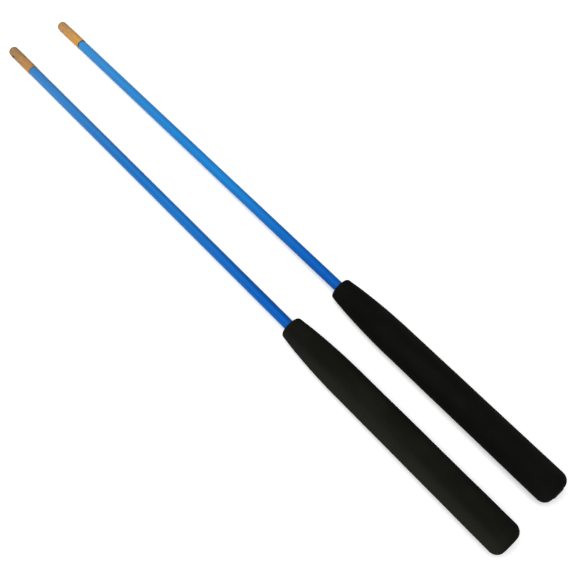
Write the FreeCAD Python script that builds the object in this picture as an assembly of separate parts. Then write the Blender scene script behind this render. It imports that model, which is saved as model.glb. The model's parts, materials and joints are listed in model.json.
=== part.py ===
import FreeCAD, Part
import math
import os

# A pair of slim hand sticks that lie side by side on a flat surface.
# Each one is a blue fibreglass tube. A turned wooden tip is glued into its front end
# by a spigot, and a cord hole is drilled across the tip. A tapered foam grip is pushed
# onto the other end, and a small vinyl cap closes the tube's butt.
#
# Frame: millimetres, +Z up. The sticks run along X, tips towards -X and grips towards +X.
# The origin is on the surface, in the middle of the pair. Facing the tips from the grips,
# the left stick is on the -Y side.

# Whole stick
stick_length = 430.0
stick_spacing = 38.0        # between the two sticks' axes

# Tip
tip_length = 23.9           # what stands in front of the tube
tip_radius = 3.25
tip_edge_radius = 1.4
tip_back_edge_radius = 0.4
spigot_length = 20.0
cord_hole_radius = 1.0
cord_hole_inset = 5.8       # tip end to the hole's axis

# Tube
tube_radius = 3.1
bore_radius = 2.1
tube_edge_radius = 0.15

# Grip
grip_length = 157.5         # front face to the butt cap's outer face
grip_radius = 9.5
taper_length = 45.0
taper_drop = 2.75           # radius lost from the shoulder to the front face
front_edge_radius = 1.2
mouth_radius = 0.4
butt_edge_radius = 5.2

# Butt cap
cap_radius = 3.7
cap_skirt = 10.0
cap_end = 0.8               # thickness over the tube's end
cap_edge_radius = 0.3

# What differs between the two sticks: the side of the pair, the turn about its own axis,
# and how far the butt cap stands out of the foam
sticks = {
    "left": {"side": -1, "roll": 0.0, "cap_stand": 0.0},
    "right": {"side": 1, "roll": 24.0, "cap_stand": 0.4},
}

# Stations along a stick's own axis, with the middle of the stick at zero
tip_x = -stick_length / 2
butt_x = stick_length / 2
cord_hole_x = tip_x + cord_hole_inset
tube_front_x = tip_x + tip_length
spigot_end_x = tube_front_x + spigot_length
grip_front_x = butt_x - grip_length
shoulder_x = grip_front_x + taper_length
tube_end_x = butt_x - cap_end
skirt_start_x = tube_end_x - cap_skirt

# The taper is one arc that leaves the straight part of the grip without a corner.
taper_arc_radius = (taper_length**2 + taper_drop**2) / (2 * taper_drop)

along = FreeCAD.Vector(1, 0, 0)
across = FreeCAD.Vector(0, 1, 0)
centre = FreeCAD.Vector(0, 0, 0)


def on_profile(x, radius):
    """A point of a turned profile: x along the stick, radius out from its axis."""
    return FreeCAD.Vector(x, 0, radius)


def turned(edges):
    """The solid of revolution of a closed profile about the stick's axis."""
    wire = Part.Wire([edge.toShape() for edge in edges])
    return Part.Face(wire).revolve(centre, along, 360)


def cylinder(start_x, end_x, radius):
    return Part.makeCylinder(radius, end_x - start_x, FreeCAD.Vector(start_x, 0, 0), along)


def rounded(solid, x, radius, edge_radius):
    """Rounds the circular edge of that radius at x."""
    edges = []
    for edge in solid.Edges:
        if not isinstance(edge.Curve, Part.Circle):
            continue
        if abs(edge.Curve.Center.x - x) < 1e-3 and abs(edge.Curve.Radius - radius) < 1e-3:
            edges.append(edge)
    return solid.makeFillet(edge_radius, edges)


def make_tip():
    """The wooden tip: a rounded nose, a shoulder against the tube, and a spigot inside it."""
    nose = rounded(cylinder(tip_x, tube_front_x, tip_radius), tip_x, tip_radius, tip_edge_radius)
    nose = rounded(nose, tube_front_x, tip_radius, tip_back_edge_radius)
    tip = nose.fuse(cylinder(tube_front_x, spigot_end_x, bore_radius))
    drill_start = FreeCAD.Vector(cord_hole_x, -2 * tip_radius, 0)
    return tip.cut(Part.makeCylinder(cord_hole_radius, 4 * tip_radius, drill_start, across))


def make_tube():
    outside = cylinder(tube_front_x, tube_end_x, tube_radius)
    outside = rounded(outside, tube_front_x, tube_radius, tube_edge_radius)
    return outside.cut(cylinder(tip_x, butt_x, bore_radius))


def make_butt_cap():
    cap = rounded(cylinder(skirt_start_x, butt_x, cap_radius), butt_x, cap_radius, cap_edge_radius)
    return cap.cut(cylinder(skirt_start_x, tube_end_x, tube_radius))


def make_grip(cap_stand):
    """The foam follows the tube, and is stretched over the cap's skirt at the butt."""
    grip_butt_x = butt_x - cap_stand
    front_radius = grip_radius - taper_drop
    half_turn = math.asin(taper_length / taper_arc_radius) / 2
    middle = on_profile(
        shoulder_x - taper_arc_radius * math.sin(half_turn),
        grip_radius - taper_arc_radius * (1 - math.cos(half_turn)),
    )
    mouth = on_profile(grip_front_x, tube_radius)
    front = on_profile(grip_front_x, front_radius)
    shoulder = on_profile(shoulder_x, grip_radius)
    butt_outside = on_profile(grip_butt_x, grip_radius)
    butt_inside = on_profile(grip_butt_x, cap_radius)
    step_outside = on_profile(skirt_start_x, cap_radius)
    step_inside = on_profile(skirt_start_x, tube_radius)
    grip = turned([
        Part.LineSegment(mouth, front),
        Part.Arc(front, middle, shoulder),
        Part.LineSegment(shoulder, butt_outside),
        Part.LineSegment(butt_outside, butt_inside),
        Part.LineSegment(butt_inside, step_outside),
        Part.LineSegment(step_outside, step_inside),
        Part.LineSegment(step_inside, mouth),
    ])
    grip = rounded(grip, grip_butt_x, grip_radius, butt_edge_radius)
    grip = rounded(grip, grip_front_x, front_radius, front_edge_radius)
    return rounded(grip, grip_front_x, tube_radius, mouth_radius)


def rest_on_surface():
    """The nose-down tilt in degrees and the axis height of a stick that lies at rest.

    The weight is ahead of the grip's shoulder, so a stick touches the surface with the
    taper arc and with the rounded edge of its tip. The surface is the line that touches
    both circles from outside.
    """
    taper_centre = (shoulder_x, grip_radius - taper_arc_radius)
    tip_centre = (tip_x + tip_edge_radius, tip_radius - tip_edge_radius)
    run = taper_centre[0] - tip_centre[0]
    rise = taper_centre[1] - tip_centre[1]
    lean = math.asin((tip_edge_radius - taper_arc_radius) / math.hypot(run, rise)) - math.atan2(rise, run)
    height = math.sin(lean) * tip_centre[0] + math.cos(lean) * tip_centre[1] + tip_edge_radius
    return math.degrees(-lean), height


def laid_down(shape, side, roll, tilt, height):
    """Moves a piece from its stick's own axis to where that stick lies."""
    placed = shape.copy()
    placed.rotate(centre, along, roll)
    placed.rotate(centre, across, -tilt)
    placed.translate(FreeCAD.Vector(0, side * stick_spacing / 2, height))
    return placed


tilt, height = rest_on_surface()
print(f"rest: tilt {tilt:.4f} degrees, axis height {height:.4f} mm")

os.makedirs("parts", exist_ok=True)
for name, stick in sticks.items():
    pieces = {
        "tip": make_tip(),
        "tube": make_tube(),
        "grip": make_grip(stick["cap_stand"]),
        "butt_cap": make_butt_cap(),
    }
    for piece, shape in pieces.items():
        placed = laid_down(shape, stick["side"], stick["roll"], tilt, height)
        placed.exportStep(f"parts/{name}_{piece}.step")
        box = placed.optimalBoundingBox()
        print(
            f"{name}_{piece}: {len(placed.Solids)} solid, {placed.Volume:.1f} mm3, "
            f"X {box.XMin:.2f} to {box.XMax:.2f}, Y {box.YMin:.2f} to {box.YMax:.2f}, "
            f"Z {box.ZMin:.2f} to {box.ZMax:.2f}"
        )
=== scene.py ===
# %% [markdown]
# # A pair of foam-grip hand sticks
#
# Each stick is a slim blue fibreglass tube. A turned wooden tip is glued into its front
# end, and a cord would run through the hole across that tip. A tapered foam grip covers
# the back third, and a small vinyl cap closes the butt.
#
# The solid parts are already designed, with their real sizes and places. This lesson
# builds the looks around them. It reads where each part is, and never moves one.

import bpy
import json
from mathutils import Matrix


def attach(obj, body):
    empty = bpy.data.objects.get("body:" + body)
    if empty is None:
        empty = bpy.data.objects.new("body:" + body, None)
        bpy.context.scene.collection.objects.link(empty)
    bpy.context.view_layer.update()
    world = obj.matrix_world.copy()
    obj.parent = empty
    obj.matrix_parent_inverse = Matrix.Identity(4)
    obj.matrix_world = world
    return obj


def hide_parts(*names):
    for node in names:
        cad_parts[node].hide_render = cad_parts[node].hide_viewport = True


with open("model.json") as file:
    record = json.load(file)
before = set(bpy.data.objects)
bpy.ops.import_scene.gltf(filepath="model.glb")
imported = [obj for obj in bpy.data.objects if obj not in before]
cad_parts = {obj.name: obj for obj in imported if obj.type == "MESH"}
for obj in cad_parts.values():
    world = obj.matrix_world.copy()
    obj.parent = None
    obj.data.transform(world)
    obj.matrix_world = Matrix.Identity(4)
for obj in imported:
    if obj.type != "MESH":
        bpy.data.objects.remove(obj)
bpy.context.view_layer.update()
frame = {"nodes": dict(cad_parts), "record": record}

# %% [markdown]
# ## The camera comes first
#
# The pair is seen from above the grips, so the sticks run away to the upper left. The
# camera is placed by where it stands, its heading, how far it looks down and a small
# roll. A camera without a turn looks straight down, and to_track_quat turns it to its
# heading. The roll is then one more turn about its own line of sight.

# %% The camera
import bmesh
import bpy
import json
import math
import numpy as np
from mathutils import Matrix, Quaternion, Vector

MM = 0.001

camera_place = Vector((189.2, -180.9, 410.0)) * MM
camera_heading = math.radians(40.375)
camera_down = math.radians(59.892)
camera_roll = math.radians(8.360)
camera_lens = 51.5

line_of_sight = Vector((
    -math.sin(camera_heading) * math.cos(camera_down),
    math.cos(camera_heading) * math.cos(camera_down),
    -math.sin(camera_down),
))
turn = line_of_sight.to_track_quat("-Z", "Y") @ Quaternion((0, 0, 1), camera_roll)

camera = bpy.data.objects.new("camera", bpy.data.cameras.new("camera"))
camera.data.lens = camera_lens
camera.data.clip_start = 0.01
camera.matrix_world = Matrix.LocRotScale(camera_place, turn, None)
bpy.context.scene.collection.objects.link(camera)
bpy.context.scene.camera = camera
print("the camera stands", round(camera_place.length, 3), "m from the middle of the pair")

# %% [markdown]
# ## Nodes without the mouse
#
# Finishes and shapes are both made of nodes here. These helpers keep that short. An
# input is given either a plain value or another node's output, and the helper works out
# which of the two it has.

# %% Helpers for nodes
def add_node(tree, kind, inputs=None, **settings):
    """Adds a node with its settings, and sets or wires its inputs."""
    node = tree.nodes.new(kind)
    for name, value in settings.items():
        setattr(node, name, value)
    for key, value in (inputs or {}).items():
        socket = node.inputs[key]
        if isinstance(value, bpy.types.NodeSocket):
            tree.links.new(value, socket)
        else:
            socket.default_value = value
    return node


def maths(tree, operation, *values, clamp=False):
    """One step of arithmetic, and its result."""
    inputs = dict(enumerate(values))
    return add_node(tree, "ShaderNodeMath", inputs, operation=operation, use_clamp=clamp).outputs[0]


def grade(tree, value, low, high, to_low=0.0, to_high=1.0):
    """Carries a value from one range to another, easing in and out, and stops at its ends."""
    inputs = {"Value": value, 1: low, 2: high, 3: to_low, 4: to_high}
    return add_node(tree, "ShaderNodeMapRange", inputs, interpolation_type="SMOOTHSTEP").outputs[0]


# %% [markdown]
# ## A light table
#
# Such sticks are shown on plain white with hardly a shadow. A plain white world would
# give the white, but nothing would lie on it. So this is a light table: a white sheet
# that glows a little from below, and still takes a faint shadow.
#
# In a low view the far end of the table would be dull, because the soft boxes don't
# reach it. So it glows more from half a metre outwards, and it meets a pale round
# backdrop. Only the camera sees the backdrop, which lights nothing.

# %% The table and the backdrop
bpy.context.scene.view_settings.view_transform = "Standard"

table_half = 3.0
table_white = 0.82
glow_near, glow_far = 0.18, 0.56
glow_starts, glow_ends = 0.5, 1.3
backdrop_radius = 0.95 * table_half
backdrop_glow = 0.85


def staged(mesh, finish_name, white, roughness, specular):
    """Puts a mesh in the studio with a finish that can glow, and gives both and the glow's socket."""
    thing = bpy.data.objects.new(mesh.name, mesh)
    bpy.context.scene.collection.objects.link(thing)
    finish = bpy.data.materials.new(finish_name)
    finish.use_nodes = True
    shader = finish.node_tree.nodes["Principled BSDF"]
    shader.inputs["Base Color"].default_value = (white, white, white, 1)
    shader.inputs["Roughness"].default_value = roughness
    shader.inputs["Specular IOR Level"].default_value = specular
    shader.inputs["Emission Color"].default_value = (1, 1, 1, 1)
    mesh.materials.append(finish)
    return thing, finish.node_tree, shader.inputs["Emission Strength"]


table_mesh = bpy.data.meshes.new("table")
corners = [(x * table_half, y * table_half, 0) for x, y in ((-1, -1), (1, -1), (1, 1), (-1, 1))]
table_mesh.from_pydata(corners, [], [(0, 1, 2, 3)])
_, table_tree, table_glow = staged(
    table_mesh, "light table", white=table_white, roughness=0.9, specular=0.1,
)
table_place = add_node(table_tree, "ShaderNodeTexCoord").outputs["Object"]
from_middle = add_node(table_tree, "ShaderNodeVectorMath", {0: table_place}, operation="LENGTH")
spread = grade(table_tree, from_middle.outputs["Value"], glow_starts, glow_ends, glow_near, glow_far)
table_tree.links.new(spread, table_glow)

backdrop_mesh = bpy.data.meshes.new("backdrop")
ball = bmesh.new()
bmesh.ops.create_uvsphere(ball, u_segments=64, v_segments=32, radius=backdrop_radius)
ball.to_mesh(backdrop_mesh)
ball.free()
backdrop, _, glow_socket = staged(
    backdrop_mesh, "pale backdrop", white=0, roughness=0.5, specular=0,
)
glow_socket.default_value = backdrop_glow
backdrop.visible_diffuse = False
backdrop.visible_glossy = False
backdrop.visible_transmission = False
backdrop.visible_volume_scatter = False
backdrop.visible_shadow = False
print("the table is", 2 * table_half, "m wide")

# %% [markdown]
# ## Soft boxes and a tent
#
# A dim white tent stands round the table, so nothing is lit from one side only. The form
# comes from two soft boxes. The big one hangs above, on the left, and because it is far
# stronger than the tent, the flanks of the round sticks turn darker than their tops. The
# low one skims the left flank of the nearer grip, and the nearer grip keeps it off the
# other one.

# %% The tent and the soft boxes
tent_brightness = 0.30

tent = bpy.data.worlds.new("tent")
tent.use_nodes = True
tent.node_tree.nodes["Background"].inputs["Color"].default_value = (1, 1, 1, 1)
tent.node_tree.nodes["Background"].inputs["Strength"].default_value = tent_brightness
bpy.context.scene.world = tent


def soft_box(name, place, size, power):
    """A square soft light that faces the middle of the pair."""
    light = bpy.data.lights.new(name, "AREA")
    light.shape = "SQUARE"
    light.size = size
    light.energy = power
    box = bpy.data.objects.new(name, light)
    place = Vector(place)
    box.matrix_world = Matrix.LocRotScale(place, (-place).to_track_quat("-Z", "Y"), None)
    bpy.context.scene.collection.objects.link(box)


soft_box("overhead", place=(0.05, -0.40, 1.09), size=0.9, power=18.0)
soft_box("left side", place=(0.25, -0.70, 0.20), size=0.4, power=0.5)
print("two soft boxes and a dim tent")

# %% [markdown]
# ## Each stick has its own axes
#
# Every piece of a stick is round, so it is easiest to make it lying along X and to carry
# it to its place at the end. A stick's own zero is the middle of its cord hole. X runs
# along it towards the grip, and Y runs through the hole. The mounts in the parts' record
# give both directions, and the parts' own points give every length.

# %% The sticks' axes and stations
record = frame["record"]
mounts = {mount["name"]: mount for mount in record["mounts"]}
sides = ["left", "right"]


def stick_axes(side):
    """The matrix from a stick's own axes to where it lies."""
    hole = mounts[f"{side}_cord_hole"]
    along = Vector(mounts[f"{side}_grip"]["axis"]).normalized()
    through = Vector(hole["axis"])
    through = (through - along * through.dot(along)).normalized()
    rotation = Matrix((along, through, along.cross(through))).transposed().to_4x4()
    return Matrix.Translation(hole["pos_m"]) @ rotation


def measured(node, side):
    """Where a part starts and ends along its stick, and its largest radius."""
    to_own = stick_axes(side).inverted()
    points = np.array([to_own @ vertex.co for vertex in frame["nodes"][node].data.vertices])
    return points[:, 0].min(), points[:, 0].max(), np.hypot(points[:, 1], points[:, 2]).max()


tip_start, spigot_end, tip_radius = measured("left_tip", "left")
tube_start, tube_end, tube_radius = measured("left_tube", "left")
grip_start, _, grip_radius = measured("left_grip", "left")
skirt_start, butt_end, cap_radius = measured("left_butt_cap", "left")
grip_ends = {side: measured(f"{side}_grip", side)[1] for side in sides}

hole_radius = mounts["left_cord_hole"]["dims"]["r_mm"] * MM
straight_length = mounts["left_grip"]["dims"]["length_mm"] * MM
hole_place = Vector(mounts["left_cord_hole"]["pos_m"])
grip_place = Vector(mounts["left_grip"]["pos_m"])
straight_middle = (grip_place - hole_place).length
shoulder = straight_middle - straight_length / 2
butt_edge = grip_ends["left"] - straight_middle - straight_length / 2
print(f"tube {1000 * (tube_end - tube_start):.1f} mm long, grip {2000 * grip_radius:.1f} mm thick")
for side in sides:
    print(f"the {side} cap stands {1000 * (butt_end - grip_ends[side]):.1f} mm out of its grip")

# %% [markdown]
# ## One lathe for every piece
#
# On the bench these pieces come off a lathe, so here one Geometry Nodes tree is the
# lathe. The Screw modifier would turn an outline too, but a tree can also work the skin,
# and it takes every size as a named input.
#
# The tree takes an outline, a row of points that give the distance along the stick and
# the radius. A grid has one point for each of them at each step of the turn, and every
# point is sent to its place on the circle. Where the grid meets itself, Merge by
# Distance welds the seam, and it closes the poles as well.
#
# Real surfaces are never quite true. The tree moves the skin in and out by a slow noise,
# which is the unevenness of hand work, and by a fine noise, which is foam cells or wood
# grain. The fine one has its own frequency in each direction, so that grain can run
# along the stick. A number on each outline point says how far it takes part.

# %% The lathe tree
seam_distance = 0.001 * MM
lathe_inputs = {
    "Outline": "Geometry", "Sides": "Int", "Uneven size": "Float", "Uneven depth": "Float",
    "Relief frequency": "Vector", "Relief depth": "Float", "Seed": "Float", "Finish": "Material",
}


def read_outline(tree, outline, value, row, data_type):
    """What the outline's point of that row says."""
    inputs = {"Geometry": outline, "Value": value, "Index": row}
    return add_node(tree, "GeometryNodeSampleIndex", inputs, data_type=data_type).outputs[0]


def make_lathe():
    """Builds the tree: a grid, its turn into a round piece, and its uneven skin."""
    tree = bpy.data.node_groups.new("lathe", "GeometryNodeTree")
    for name, kind in lathe_inputs.items():
        tree.interface.new_socket(name, in_out="INPUT", socket_type=f"NodeSocket{kind}")
    tree.interface.new_socket("Turned", in_out="OUTPUT", socket_type="NodeSocketGeometry")
    given = tree.nodes.new("NodeGroupInput").outputs

    # One grid row per outline point, one grid column per step of the turn.
    points = add_node(tree, "GeometryNodeAttributeDomainSize", {"Geometry": given["Outline"]})
    count = points.outputs["Point Count"]
    columns = maths(tree, "ADD", given["Sides"], 1)
    grid = add_node(tree, "GeometryNodeMeshGrid", {"Vertices X": columns, "Vertices Y": count})
    index = tree.nodes.new("GeometryNodeInputIndex").outputs[0]
    row = maths(tree, "MODULO", index, count)
    column = maths(tree, "FLOOR", maths(tree, "DIVIDE", index, count))

    # Each grid point reads its outline point.
    place = tree.nodes.new("GeometryNodeInputPosition").outputs[0]
    read_place = read_outline(tree, given["Outline"], place, row, "FLOAT_VECTOR")
    skin = add_node(tree, "GeometryNodeInputNamedAttribute", {"Name": "skin"}, data_type="FLOAT")
    read_skin = read_outline(tree, given["Outline"], skin.outputs[0], row, "FLOAT")
    kept_skin = add_node(
        tree, "GeometryNodeStoreNamedAttribute",
        {"Geometry": grid.outputs["Mesh"], "Name": "skin", "Value": read_skin},
        data_type="FLOAT", domain="POINT",
    )

    # The turn itself: the distance along stays, and the radius goes round.
    along, radius, _ = add_node(tree, "ShaderNodeSeparateXYZ", {0: read_place}).outputs
    angle = maths(tree, "MULTIPLY", maths(tree, "DIVIDE", column, given["Sides"]), math.tau)
    on_circle = add_node(tree, "ShaderNodeCombineXYZ", {
        0: along,
        1: maths(tree, "MULTIPLY", radius, maths(tree, "COSINE", angle)),
        2: maths(tree, "MULTIPLY", radius, maths(tree, "SINE", angle)),
    })
    round_piece = add_node(
        tree, "GeometryNodeSetPosition",
        {"Geometry": kept_skin.outputs[0], "Position": on_circle.outputs[0]},
    )
    closed = add_node(
        tree, "GeometryNodeMergeByDistance",
        {"Geometry": round_piece.outputs[0], "Distance": seam_distance},
    )

    # The two kinds of unevenness, each about zero.
    slow = add_node(tree, "ShaderNodeTexNoise", {
        "Vector": place, "W": given["Seed"],
        "Scale": maths(tree, "DIVIDE", 1, given["Uneven size"]), "Detail": 1,
    }, noise_dimensions="4D")
    stretched = add_node(
        tree, "ShaderNodeVectorMath", {0: place, 1: given["Relief frequency"]}, operation="MULTIPLY",
    )
    fine = add_node(tree, "ShaderNodeTexNoise", {
        "Vector": stretched.outputs[0], "W": given["Seed"], "Scale": 1, "Detail": 2,
    }, noise_dimensions="4D")
    moves = []
    for pattern, depth in ((slow, given["Uneven depth"]), (fine, given["Relief depth"])):
        about_zero = maths(tree, "SUBTRACT", pattern.outputs[0], 0.5)
        moves.append(maths(tree, "MULTIPLY", maths(tree, "MULTIPLY", about_zero, 2), depth))
    kept = add_node(tree, "GeometryNodeInputNamedAttribute", {"Name": "skin"}, data_type="FLOAT")
    out_by = maths(tree, "MULTIPLY", maths(tree, "ADD", *moves), kept.outputs[0])
    outwards = tree.nodes.new("GeometryNodeInputNormal").outputs[0]
    offset = add_node(
        tree, "ShaderNodeVectorMath", {0: outwards, "Scale": out_by}, operation="SCALE",
    )
    worked = add_node(
        tree, "GeometryNodeSetPosition",
        {"Geometry": closed.outputs[0], "Offset": offset.outputs[0]},
    )
    real = add_node(tree, "GeometryNodeRealizeInstances", {"Geometry": worked.outputs[0]})
    painted = add_node(
        tree, "GeometryNodeSetMaterial",
        {"Geometry": real.outputs[0], "Material": given["Finish"]},
    )
    result = tree.nodes.new("NodeGroupOutput")
    tree.links.new(painted.outputs[0], result.inputs[0])
    return tree


lathe = make_lathe()
print("the lathe has", len(lathe.nodes), "nodes")

# %% [markdown]
# ## Drawing outlines
#
# An outline has only the corners that the piece needs, joined by straight runs and arcs.
# It runs so that the open air is always on its left. A run is split into steps, because
# the fine relief can only show where there are points to move. An arc is given by its
# centre, its radius and the two directions, in degrees, that it starts and ends at.

# %% Runs and arcs
def run(start, end, step, skin=1.0):
    """Points along a straight run, as (along, radius, skin), without the last one."""
    count = max(1, math.ceil(math.dist(start, end) / step))
    length, rise = end[0] - start[0], end[1] - start[1]
    return [(start[0] + length * i / count, start[1] + rise * i / count, skin) for i in range(count)]


def arc(centre, radius, first, last, step, skin=1.0):
    """Points along an arc, as (along, radius, skin), without the last one."""
    count = max(3, math.ceil(abs(math.radians(last - first)) * radius / step))
    directions = [math.radians(first + (last - first) * i / count) for i in range(count)]
    return [
        (centre[0] + radius * math.cos(way), centre[1] + radius * math.sin(way), skin)
        for way in directions
    ]


# %% [markdown]
# ## Turning an outline
#
# A piece starts as a mesh that is nothing but its outline's points, and the lathe is a
# modifier on it. A modifier's inputs are set by their identifiers, so the names are
# looked up in the tree first. Once the piece is turned, its result is kept as a plain
# mesh, and the modifier goes.

# %% Turning
def keep_result(piece):
    """Replaces a piece's mesh and modifiers with the plain mesh that they make together."""
    graph = bpy.context.evaluated_depsgraph_get()
    result = bpy.data.meshes.new_from_object(
        piece.evaluated_get(graph), preserve_all_data_layers=True, depsgraph=graph,
    )
    piece.modifiers.clear()
    piece.data = result
    result.name = piece.name


def turned(name, outline, sides_round, finish, seed, uneven=(10 * MM, 0.0), relief=((1, 1, 1), 0.0)):
    """Turns an outline on the lathe, and gives back an object with a plain mesh.

    uneven is the size and the depth of the slow noise. relief is the frequency in each
    direction, per metre, and the depth of the fine one.
    """
    points = bpy.data.meshes.new(name + "_outline")
    points.from_pydata([(along, radius, 0) for along, radius, _ in outline], [], [])
    skin = points.attributes.new("skin", "FLOAT", "POINT")
    skin.data.foreach_set("value", [share for _, _, share in outline])
    piece = bpy.data.objects.new(name, points)
    bpy.context.scene.collection.objects.link(piece)
    modifier = piece.modifiers.new("lathe", "NODES")
    modifier.node_group = lathe
    values = {
        "Sides": sides_round, "Uneven size": uneven[0], "Uneven depth": uneven[1],
        "Relief frequency": relief[0], "Relief depth": relief[1], "Seed": seed, "Finish": finish,
    }
    for socket in lathe.interface.items_tree:
        if socket.name in values:
            modifier[socket.identifier] = values[socket.name]
    keep_result(piece)
    return piece


# %% [markdown]
# ## Finishing a piece
#
# Each finished piece keeps a copy of its points as they were on the lathe, in an
# attribute named own. Its material reads that, so grain follows the stick and not the
# room. A second attribute, tone, is one number for the whole piece. It lets two pieces
# of one material differ a little, as pieces from two batches do. Only then is the mesh
# carried to its place. Faces are shaded smooth, apart from true corners. The piece rides
# on its stick, and stands for the plain part it replaces.

# %% Finish, place and attach
corner_angle = math.radians(35)
tones = {"left": 0.0, "right": 1.0}


def finished(piece, side, replaced=None):
    """Stores the piece's own coordinates, carries its mesh to its place and attaches it."""
    mesh = piece.data
    places = np.empty(3 * len(mesh.vertices), np.float32)
    mesh.vertices.foreach_get("co", places)
    own = mesh.attributes.new("own", "FLOAT_VECTOR", "POINT")
    own.data.foreach_set("vector", places)
    tone = mesh.attributes.new("tone", "FLOAT", "POINT")
    tone.data.foreach_set("value", [tones[side]] * len(mesh.vertices))
    mesh.transform(stick_axes(side))
    mesh.shade_smooth()
    mesh.set_sharp_from_angle(angle=corner_angle)
    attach(piece, f"{side}_stick")
    if replaced:
        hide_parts(replaced)
    triangles = sum(len(face.vertices) - 2 for face in mesh.polygons)
    print(f"{piece.name}: {triangles} triangles")


# %% [markdown]
# ## Mixing finishes
#
# Every finish starts in the same way and reads the same two attributes. The patterns are
# noise and not images, so they need no unwrapping and show no seam. Noise in four
# dimensions gives each stick a pattern of its own: the fourth number moves with the
# tone, and everything else about the two patterns stays alike.

# %% Helpers for finishes
pattern_shift = 7.3


def new_finish(name):
    """A new material: itself, its tree, its shader, and the own and tone attributes."""
    material = bpy.data.materials.new(name)
    material.use_nodes = True
    tree = material.node_tree
    own = add_node(tree, "ShaderNodeAttribute", attribute_name="own").outputs["Vector"]
    tone = add_node(tree, "ShaderNodeAttribute", attribute_name="tone").outputs["Fac"]
    return material, tree, tree.nodes["Principled BSDF"], own, tone


def noise(tree, own, tone, frequency, detail=2.0, roughness=0.5):
    """Noise with its own frequency in each direction, per metre, and its own cut per tone."""
    stretched = add_node(tree, "ShaderNodeVectorMath", {0: own, 1: frequency}, operation="MULTIPLY")
    inputs = {
        "Vector": stretched.outputs[0], "W": maths(tree, "MULTIPLY", tone, pattern_shift),
        "Scale": 1, "Detail": detail, "Roughness": roughness,
    }
    return add_node(tree, "ShaderNodeTexNoise", inputs, noise_dimensions="4D").outputs[0]


def mixed(tree, share, first, second):
    """Two colours mixed: none of the second at a share of 0, and all of it at 1."""
    node = add_node(tree, "ShaderNodeMix", data_type="RGBA")
    for key, value in ((0, share), (6, first), (7, second)):
        if isinstance(value, bpy.types.NodeSocket):
            tree.links.new(value, node.inputs[key])
        else:
            node.inputs[key].default_value = value if key == 0 else (*value, 1)
    return node.outputs[2]


def bumped(tree, shader, height, distance):
    """Tilts the light on a finish, as if its surface rose and fell by that distance."""
    bump = add_node(tree, "ShaderNodeBump", {"Height": height, "Distance": distance, "Strength": 1.0})
    tree.links.new(bump.outputs[0], shader.inputs["Normal"])


# %% [markdown]
# ## Blue fibreglass
#
# The tube is drawn through a die, with its glass fibres lying lengthwise in blue resin.
# So the blue has faint streaks along the stick, many times longer than they are wide.
# It is deepest by the grip, and paler towards the tip, where the paler blue is a painted
# sheen. A painted shadow darkens it just in front of the foam. Handling has rubbed it
# nearly dull, so it keeps only a trace of sheen. The fibres leave a very fine ribbing that
# only shows close up, which a bump is enough for.

# %% The blue
# How far in front of the foam the painted shadow on the blue reaches.
grip_shadow_width = 1.6 * MM


def make_blue():
    """Blue that deepens towards the grip and is paler towards the tip as a painted sheen, with streaks
    along the stick and a painted shadow in front of the grip.
    """
    material, tree, shader, own, tone = new_finish("blue fibreglass")
    along = add_node(tree, "ShaderNodeSeparateXYZ", {0: own}).outputs[0]

    # Three blues along the stick, each a little different on the two sticks. The paler blues towards
    # the tip are a painted sheen.
    by_grip = mixed(tree, tone, (0.0010, 0.068, 0.300), (0.0010, 0.072, 0.325))
    middle = mixed(tree, tone, (0.010, 0.117, 0.372), (0.010, 0.155, 0.430))
    by_tip = mixed(tree, tone, (0.034, 0.163, 0.402), (0.032, 0.189, 0.450))
    half_way = 0.55 * grip_start
    colour = mixed(tree, grade(tree, along, grip_start, half_way), by_grip, middle)
    colour = mixed(tree, grade(tree, along, half_way, tube_start), colour, by_tip)

    # Broad and fine streaks make it up to a fifth lighter or darker.
    broad = grade(tree, noise(tree, own, tone, (3, 300, 300)), 0.3, 0.7, 0.88, 1.12)
    fibres = noise(tree, own, tone, (14, 2200, 2200), detail=3)
    streaks = grade(tree, fibres, 0.3, 0.7, 0.90, 1.10)
    streaked = {0: colour, "Scale": maths(tree, "MULTIPLY", broad, streaks)}
    colour = add_node(tree, "ShaderNodeVectorMath", streaked, operation="SCALE").outputs[0]

    # A painted shadow just in front of the foam, where the tube enters it.
    grip_shadow = grade(tree, along, grip_start - grip_shadow_width, grip_start, 0.0, 0.75)
    colour = mixed(tree, grip_shadow, colour, (0.001, 0.012, 0.070))
    tree.links.new(colour, shader.inputs["Base Color"])
    tree.links.new(grade(tree, fibres, 0.2, 0.8, 0.34, 0.46), shader.inputs["Roughness"])
    shader.inputs["Specular IOR Level"].default_value = 0.04
    bumped(tree, shader, fibres, 0.02 * MM)
    return material


blue = make_blue()
print("the blue has", len(blue.node_tree.nodes), "nodes")

# %% [markdown]
# The tube is a real tube, with a wall, although the tip and the cap close both ends. Its
# outline is a loop, so the last point meets the first. The die leaves a tube true, so it
# takes no part in the unevenness: its skin is 0 everywhere.

# %% The tubes
tube_wall = 1.0 * MM
bore_radius = tube_radius - tube_wall
tube_edge = 0.15 * MM


def tube_outline():
    """Up the front end, along the outside to the butt, and back through the bore."""
    step = 4 * MM
    fine = 0.05 * MM
    return [
        *run((tube_start, bore_radius), (tube_start, tube_radius - tube_edge), fine * 6, skin=0),
        *arc((tube_start + tube_edge, tube_radius - tube_edge), tube_edge, 180, 90, fine, skin=0),
        *run((tube_start + tube_edge, tube_radius), (tube_end, tube_radius), step, skin=0),
        *run((tube_end, tube_radius), (tube_end, bore_radius), MM, skin=0),
        *run((tube_end, bore_radius), (tube_start, bore_radius), step, skin=0),
        (tube_start, bore_radius, 0),
    ]


for number, side in enumerate(sides):
    tube = turned(f"{side}_fibreglass_tube", tube_outline(), sides_round=96, finish=blue, seed=number)
    finished(tube, side, f"{side}_tube")
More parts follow.
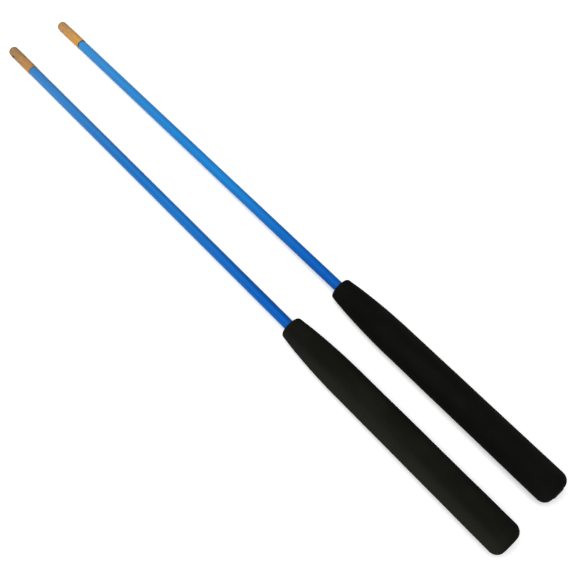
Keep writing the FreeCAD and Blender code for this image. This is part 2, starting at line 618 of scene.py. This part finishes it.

# %% [markdown]
# ## Bare wood
#
# The tip is beech or a similar pale wood, bare and handled. Wood is many thin pores
# along the grain over slow patches of warmer colour. End grain soaks up dirt, so the
# rounded nose is browner. The cord hole and its rim are painted near-black: painted shade
# inside the hole, with some dirt on the rim where a cord rubs. The wood is fresher near
# the tube, and its patches are warmer there. Dents are painted darker the deeper they
# go, and the mesh says how deep, in an attribute of its own.

# %% The wood
browned = 2.2 * MM


def make_wood():
    """Pale wood, dull at the nose and fresher by the tube, with pores, patches, dirt, painted shade in
    the cord hole, and darker dents.
    """
    material, tree, shader, own, tone = new_finish("bare wood")
    parts = add_node(tree, "ShaderNodeSeparateXYZ", {0: own}).outputs
    pores = noise(tree, own, tone, (160, 2600, 2600), detail=4, roughness=0.6)
    patches = noise(tree, own, tone, (380, 620, 620), detail=2)

    # The wood itself, from the nose to the tube, with its patches and pores.
    dull = mixed(tree, tone, (0.250, 0.158, 0.067), (0.358, 0.196, 0.083))
    fresh = mixed(tree, tone, (0.370, 0.190, 0.066), (0.480, 0.255, 0.062))
    colour = mixed(tree, grade(tree, parts[0], tip_start + 5 * MM, tube_start), dull, fresh)
    warm = mixed(tree, tone, (0.42, 0.175, 0.038), (0.56, 0.27, 0.030))
    warmth = grade(tree, parts[0], tip_start, tube_start, 0.30, 0.80)
    in_patch = grade(tree, patches, 0.44, 0.60)
    colour = mixed(tree, maths(tree, "MULTIPLY", in_patch, warmth), colour, warm)
    in_pore = grade(tree, pores, 0.45, 0.72, 0.0, 0.55)
    colour = mixed(tree, in_pore, colour, (0.17, 0.09, 0.04))

    # A brown nose from use, painted shade with some dirt in and round the cord hole, and dents painted
    # darker by their depth.
    end_grain = grade(tree, parts[0], tip_start + browned, tip_start + 0.2 * MM, 0.0, 0.8)
    colour = mixed(tree, end_grain, colour, (0.10, 0.062, 0.038))
    # Painted shade: in the cord hole and round its rim the wood turns near-black, with some dirt from
    # the cord.
    squares = [maths(tree, "MULTIPLY", part, part) for part in (parts[0], parts[2])]
    from_hole = maths(tree, "SQRT", maths(tree, "ADD", *squares))
    hole_shade_and_dirt = grade(tree, from_hole, hole_radius * 1.55, hole_radius * 1.15, 0.0, 0.92)
    colour = mixed(tree, hole_shade_and_dirt, colour, (0.016, 0.010, 0.007))
    # Dents are painted darker the deeper they go.
    dent_depth = add_node(tree, "ShaderNodeAttribute", attribute_name="dent_depth").outputs["Fac"]
    dent_darkening = maths(tree, "MULTIPLY", dent_depth, 0.9, clamp=True)
    colour = mixed(tree, dent_darkening, colour, (0.060, 0.035, 0.022))
    tree.links.new(colour, shader.inputs["Base Color"])
    tree.links.new(grade(tree, pores, 0.3, 0.7, 0.62, 0.85), shader.inputs["Roughness"])
    shader.inputs["Specular IOR Level"].default_value = 0.2
    bumped(tree, shader, pores, 0.05 * MM)
    return material


wood = make_wood()
print("the wood has", len(wood.node_tree.nodes), "nodes")

# %% [markdown]
# The tip is turned in one piece with the spigot that goes into the tube. Its nose is
# well rounded, and its back edge is rounded a little, so a fine groove is left where it
# meets the tube.
#
# The drill comes off the same lathe. It flares at both ends, because a drilled hole in
# wood gets its edges broken by sandpaper and then by the cord.

# %% The outlines of the tip and the drill
nose_edge = 1.4 * MM
back_edge = 0.4 * MM
flare = 0.35 * MM


def tip_outline():
    """From the middle of the nose, back to the tube, and along the spigot to its end."""
    step = 0.3 * MM
    fine = 0.12 * MM
    nose, waist = tip_start + nose_edge, tube_start - back_edge
    return [
        *run((tip_start, 0), (tip_start, tip_radius - nose_edge), step),
        *arc((nose, tip_radius - nose_edge), nose_edge, 180, 90, fine),
        *run((nose, tip_radius), (waist, tip_radius), step),
        *arc((waist, tip_radius - back_edge), back_edge, 90, 0, fine),
        *run((tube_start, tip_radius - back_edge), (tube_start, bore_radius), step, skin=0),
        *run((tube_start, bore_radius), (spigot_end, bore_radius), 2 * MM, skin=0),
        *run((spigot_end, bore_radius), (spigot_end, 0), MM, skin=0),
        (spigot_end, 0, 0),
    ]


def drill_outline():
    """A cutter about the hole's middle: straight inside the wood, flared at its surface."""
    step = 0.1 * MM
    inside = tip_radius - flare
    outside = tip_radius + MM
    wide = hole_radius + flare
    return [
        *run((-outside, 0), (-outside, wide), MM),
        *run((-outside, wide), (-tip_radius, wide), MM),
        *arc((-inside, wide), flare, 180, 270, step),
        *run((-inside, hole_radius), (inside, hole_radius), MM),
        *arc((inside, wide), flare, -90, 0, step),
        *run((tip_radius, wide), (outside, wide), MM),
        *run((outside, wide), (outside, 0), MM),
        (outside, 0, 1),
    ]


# %% [markdown]
# A used tip has a few small dents. Each is given by how far it lies behind the cord
# hole, how far round the tip in degrees, how wide it reaches and how deep it goes. It
# fades to nothing at its edge, and is nearly twice as long along the grain as across.

# %% Pressing a dent
grain_stretch = 0.55


def dent(mesh, along, turned_by, reach, depth):
    """Presses a dent into a tip, and notes in an attribute how deep each point lies."""
    centre = Vector((along, tip_radius * math.cos(turned_by), tip_radius * math.sin(turned_by)))
    inwards = Vector((0, -math.cos(turned_by), -math.sin(turned_by)))
    dent_depth = mesh.attributes.get("dent_depth") or mesh.attributes.new("dent_depth", "FLOAT", "POINT")
    for index, vertex in enumerate(mesh.vertices):
        away = vertex.co - centre
        away.x *= grain_stretch
        share = 1 - away.length / reach
        if share > 0:
            ease = share * share * (3 - 2 * share)
            vertex.co += inwards * depth * ease
            dent_depth.data[index].value = max(dent_depth.data[index].value, ease)


# %% [markdown]
# The cord hole is drilled after turning, so it is cut with a Boolean. A cut can leave
# points almost on top of each other, and faces too thin to see between them. They are
# welded, which leaves one clean closed skin.

# %% The tips
weld_distance = 0.01 * MM


def weld(mesh, distance):
    """Joins the points that a cut has left almost on top of each other."""
    welder = bmesh.new()
    welder.from_mesh(mesh)
    bmesh.ops.remove_doubles(welder, verts=welder.verts, dist=distance)
    welder.to_mesh(mesh)
    welder.free()


across_the_stick = Matrix.Rotation(math.pi / 2, 4, "Z")
dents = {
    "left": [(6.6 * MM, 236, 1.0 * MM, 0.40 * MM), (16.0 * MM, 234, 0.9 * MM, 0.40 * MM)],
    "right": [(9.0 * MM, 20, 0.8 * MM, 0.30 * MM)],
}

for number, side in enumerate(sides):
    tip = turned(
        f"{side}_wooden_tip", tip_outline(), sides_round=160, finish=wood, seed=3 + number,
        uneven=(5 * MM, 0.05 * MM), relief=((160, 2200, 2200), 0.035 * MM),
    )
    for along, degrees, reach, depth in dents[side]:
        dent(tip.data, along, math.radians(degrees), reach, depth)
    drill = turned("drill", drill_outline(), sides_round=64, finish=wood, seed=0)
    drill.data.transform(across_the_stick)
    cut = tip.modifiers.new("cord hole", "BOOLEAN")
    cut.object = drill
    cut.solver = "EXACT"
    cut.operation = "DIFFERENCE"
    keep_result(tip)
    weld(tip.data, weld_distance)
    bpy.data.objects.remove(drill)
    finished(tip, side, f"{side}_tip")

# %% [markdown]
# ## The glue line
#
# Where the tip is glued in, a little dark resin has been squeezed out and wiped off. It
# leaves a thin ring against the front of the tube, neater on one stick than on the
# other. It is a small turned ring too, with an uneven skin. It is no part of its own, so
# it replaces nothing.

# %% The glue
def make_resin():
    """Dark resin with small lumps."""
    material, tree, shader, own, tone = new_finish("dark resin")
    lumps = noise(tree, own, tone, (900, 900, 900))
    colour = mixed(tree, lumps, (0.004, 0.010, 0.026), (0.012, 0.028, 0.060))
    tree.links.new(colour, shader.inputs["Base Color"])
    tree.links.new(grade(tree, lumps, 0.3, 0.7, 0.3, 0.5), shader.inputs["Roughness"])
    bumped(tree, shader, lumps, 0.02 * MM)
    return material


resin = make_resin()
hump_steps = 14


def glue_outline(width, height):
    """A low hump that fills the groove and laps onto the tube."""
    first, last = tube_start - 0.4 * width, tube_start + 0.6 * width
    base = tube_radius - 0.2 * MM
    foot = tube_radius - 0.02 * MM
    hump = []
    for i in range(hump_steps + 1):
        share = i / hump_steps
        rise = math.sin(math.pi * share) ** 0.6
        hump.append((first + (last - first) * share, foot + height * rise, rise))
    floor = run((last, base), (first, base), 0.18 * MM, skin=0)
    return [*floor, (first, base, 0), *hump, (last, base, 0)]


glue_sizes = {"left": (0.70 * MM, 0.10 * MM), "right": (1.10 * MM, 0.20 * MM)}
for number, side in enumerate(sides):
    ring = turned(
        f"{side}_glue_ring", glue_outline(*glue_sizes[side]), sides_round=96, finish=resin,
        seed=7 + number, uneven=(2 * MM, 0.05 * MM),
    )
    finished(ring, side)

# %% [markdown]
# ## Black foam
#
# The grip is closed-cell foam, ground to shape on a wheel. Foam this black hardly
# reflects anything, and what it does reflect is scattered: it has no gloss at all. Close
# up, the ground skin is a field of tiny cut cells, with painted shade in their pits. A bump
# alone would leave the grip's outline as smooth as plastic, so the bigger cells are real
# geometry, from the lathe's fine noise, and only the finest are a bump. One flank of each
# grip is painted a little greyer, as painted light from a low lamp on that side, and the
# left grip has more of it.

# %% The foam finish
def make_foam():
    """Black foam with cut cells painted darker in their pits, and one flank painted greyer as painted
    light.
    """
    material, tree, shader, own, tone = new_finish("black foam")
    clouds = grade(tree, noise(tree, own, tone, (45, 90, 90), detail=3), 0.35, 0.7)
    cells = add_node(tree, "ShaderNodeTexVoronoi", {"Vector": own, "Scale": 2600}).outputs["Distance"]
    grit = noise(tree, own, tone, (5200, 5200, 5200), detail=2)
    dark = mixed(tree, tone, (0.0050, 0.0052, 0.0039), (0.0032, 0.0035, 0.0027))
    light = mixed(tree, tone, (0.0076, 0.0078, 0.0060), (0.0048, 0.0051, 0.0040))
    colour = mixed(tree, clouds, dark, light)
    # Painted light: one flank of each grip is made greyer, as if lit by a low lamp from that side, and
    # the left grip gets more of it.
    flank = add_node(tree, "ShaderNodeSeparateXYZ", {0: own}).outputs[1]
    lit_flank = grade(tree, flank, 0.45 * grip_radius, grip_radius, 0.0, 0.6)
    lit_flank_share = maths(tree, "SUBTRACT", 1, maths(tree, "MULTIPLY", tone, 0.75))
    colour = mixed(tree, maths(tree, "MULTIPLY", lit_flank, lit_flank_share), colour, (0.0150, 0.0148, 0.0115))
    # Painted shade: the pits of the cut cells are darker.
    cell_pit_shade = grade(tree, cells, 0.55, 0.1, 0.0, 0.5)
    colour = mixed(tree, cell_pit_shade, colour, (0.002, 0.002, 0.002))
    tree.links.new(colour, shader.inputs["Base Color"])
    tree.links.new(grade(tree, grit, 0.3, 0.7, 0.88, 1.0), shader.inputs["Roughness"])
    shader.inputs["Specular IOR Level"].default_value = 0.03
    height = maths(tree, "ADD", maths(tree, "MULTIPLY", cells, 0.6), maths(tree, "MULTIPLY", grit, 0.4))
    bumped(tree, shader, height, 0.08 * MM)
    return material


foam = make_foam()
print("the foam has", len(foam.node_tree.nodes), "nodes")

# %% [markdown]
# The grip swells from its front face to the shoulder on one long arc, which meets the
# straight part without a corner. The radius of that arc follows from how long the taper
# is and how much it drops. The front face has a small round edge that leaves the taper
# along its tangent, and the butt is rounded like a thumb. The bore follows the tube, and
# steps out over the cap's skirt.

# %% The grips
taper_drop = 2.75 * MM
front_edge = 1.2 * MM
mouth_edge = 0.4 * MM
taper_length = shoulder - grip_start
taper_arc = (taper_length**2 + taper_drop**2) / (2 * taper_drop)


def taper(along):
    """The grip's radius in front of its shoulder."""
    return grip_radius - taper_arc + math.sqrt(taper_arc**2 - (shoulder - along) ** 2)


def grip_outline(grip_end):
    """From the bore's mouth over the front, the taper and the butt, and back along the bore."""
    step = 0.5 * MM
    fine = 0.3 * MM
    mouth, butt = grip_start + mouth_edge, grip_end - butt_edge
    slope = math.asin(taper_length / taper_arc)
    edge_end = grip_start + front_edge * (1 - math.sin(slope))
    edge_centre = (grip_start + front_edge, taper(edge_end) - front_edge * math.cos(slope))
    steps = math.ceil((shoulder - edge_end) / step)
    swell = [edge_end + (shoulder - edge_end) * i / steps for i in range(steps)]
    return [
        *arc((mouth, tube_radius + mouth_edge), mouth_edge, 270, 180, fine / 3, skin=0.3),
        *run((grip_start, tube_radius + mouth_edge), (grip_start, edge_centre[1]), fine),
        *arc(edge_centre, front_edge, 180, 90 + math.degrees(slope), fine / 1.5),
        *[(along, taper(along), 1.0) for along in swell],
        *run((shoulder, grip_radius), (butt, grip_radius), step),
        *arc((butt, grip_radius - butt_edge), butt_edge, 90, 0, fine),
        *run((grip_end, grip_radius - butt_edge), (grip_end, cap_radius), fine),
        *run((grip_end, cap_radius), (skirt_start, cap_radius), 2 * MM, skin=0),
        *run((skirt_start, cap_radius), (skirt_start, tube_radius), MM, skin=0),
        *run((skirt_start, tube_radius), (mouth, tube_radius), 5 * MM, skin=0),
        (mouth, tube_radius, 0.3),
    ]


for number, side in enumerate(sides):
    grip = turned(
        f"{side}_foam_grip", grip_outline(grip_ends[side]), sides_round=128, finish=foam,
        seed=11 + number, uneven=(22 * MM, 0.13 * MM), relief=((1500, 1500, 1500), 0.035 * MM),
    )
    finished(grip, side, f"{side}_grip")

# %% [markdown]
# ## Black vinyl
#
# The cap is dipped vinyl, a shade greyer and smoother than the foam, so its edge catches
# a little light. Only its end shows. A shallow dimple is left in the middle, where it
# hung from its mould.

# %% The caps
def make_vinyl():
    """Black vinyl with a fine skin."""
    material, tree, shader, own, tone = new_finish("black vinyl")
    skin = noise(tree, own, tone, (1400, 1400, 1400), detail=2)
    colour = mixed(tree, skin, (0.006, 0.006, 0.006), (0.014, 0.014, 0.014))
    tree.links.new(colour, shader.inputs["Base Color"])
    tree.links.new(grade(tree, skin, 0.3, 0.7, 0.38, 0.52), shader.inputs["Roughness"])
    shader.inputs["Specular IOR Level"].default_value = 0.3
    bumped(tree, shader, skin, 0.03 * MM)
    return material


vinyl = make_vinyl()
cap_edge = 0.3 * MM
dimple_radius = 1.1 * MM
dimple_depth = 0.25 * MM
dimple_steps = 8


def cap_outline():
    """From the inside of its end round the skirt and the edge, to the dimple's middle."""
    dimple_radii = [dimple_radius * (1 - i / dimple_steps) for i in range(dimple_steps + 1)]
    return [
        *run((tube_end, 0), (tube_end, tube_radius), MM),
        *run((tube_end, tube_radius), (skirt_start, tube_radius), 2 * MM),
        *run((skirt_start, tube_radius), (skirt_start, cap_radius), MM),
        *run((skirt_start, cap_radius), (butt_end - cap_edge, cap_radius), 2 * MM),
        *arc((butt_end - cap_edge, cap_radius - cap_edge), cap_edge, 90, 0, 0.06 * MM),
        *run((butt_end, cap_radius - cap_edge), (butt_end, dimple_radius), 0.3 * MM),
        *[
            (butt_end - dimple_depth * math.cos(math.pi / 2 * radius / dimple_radius) ** 2, radius, 1)
            for radius in dimple_radii
        ],
    ]


for number, side in enumerate(sides):
    cap = turned(f"{side}_vinyl_cap", cap_outline(), sides_round=72, finish=vinyl, seed=17 + number)
    finished(cap, side, f"{side}_butt_cap")
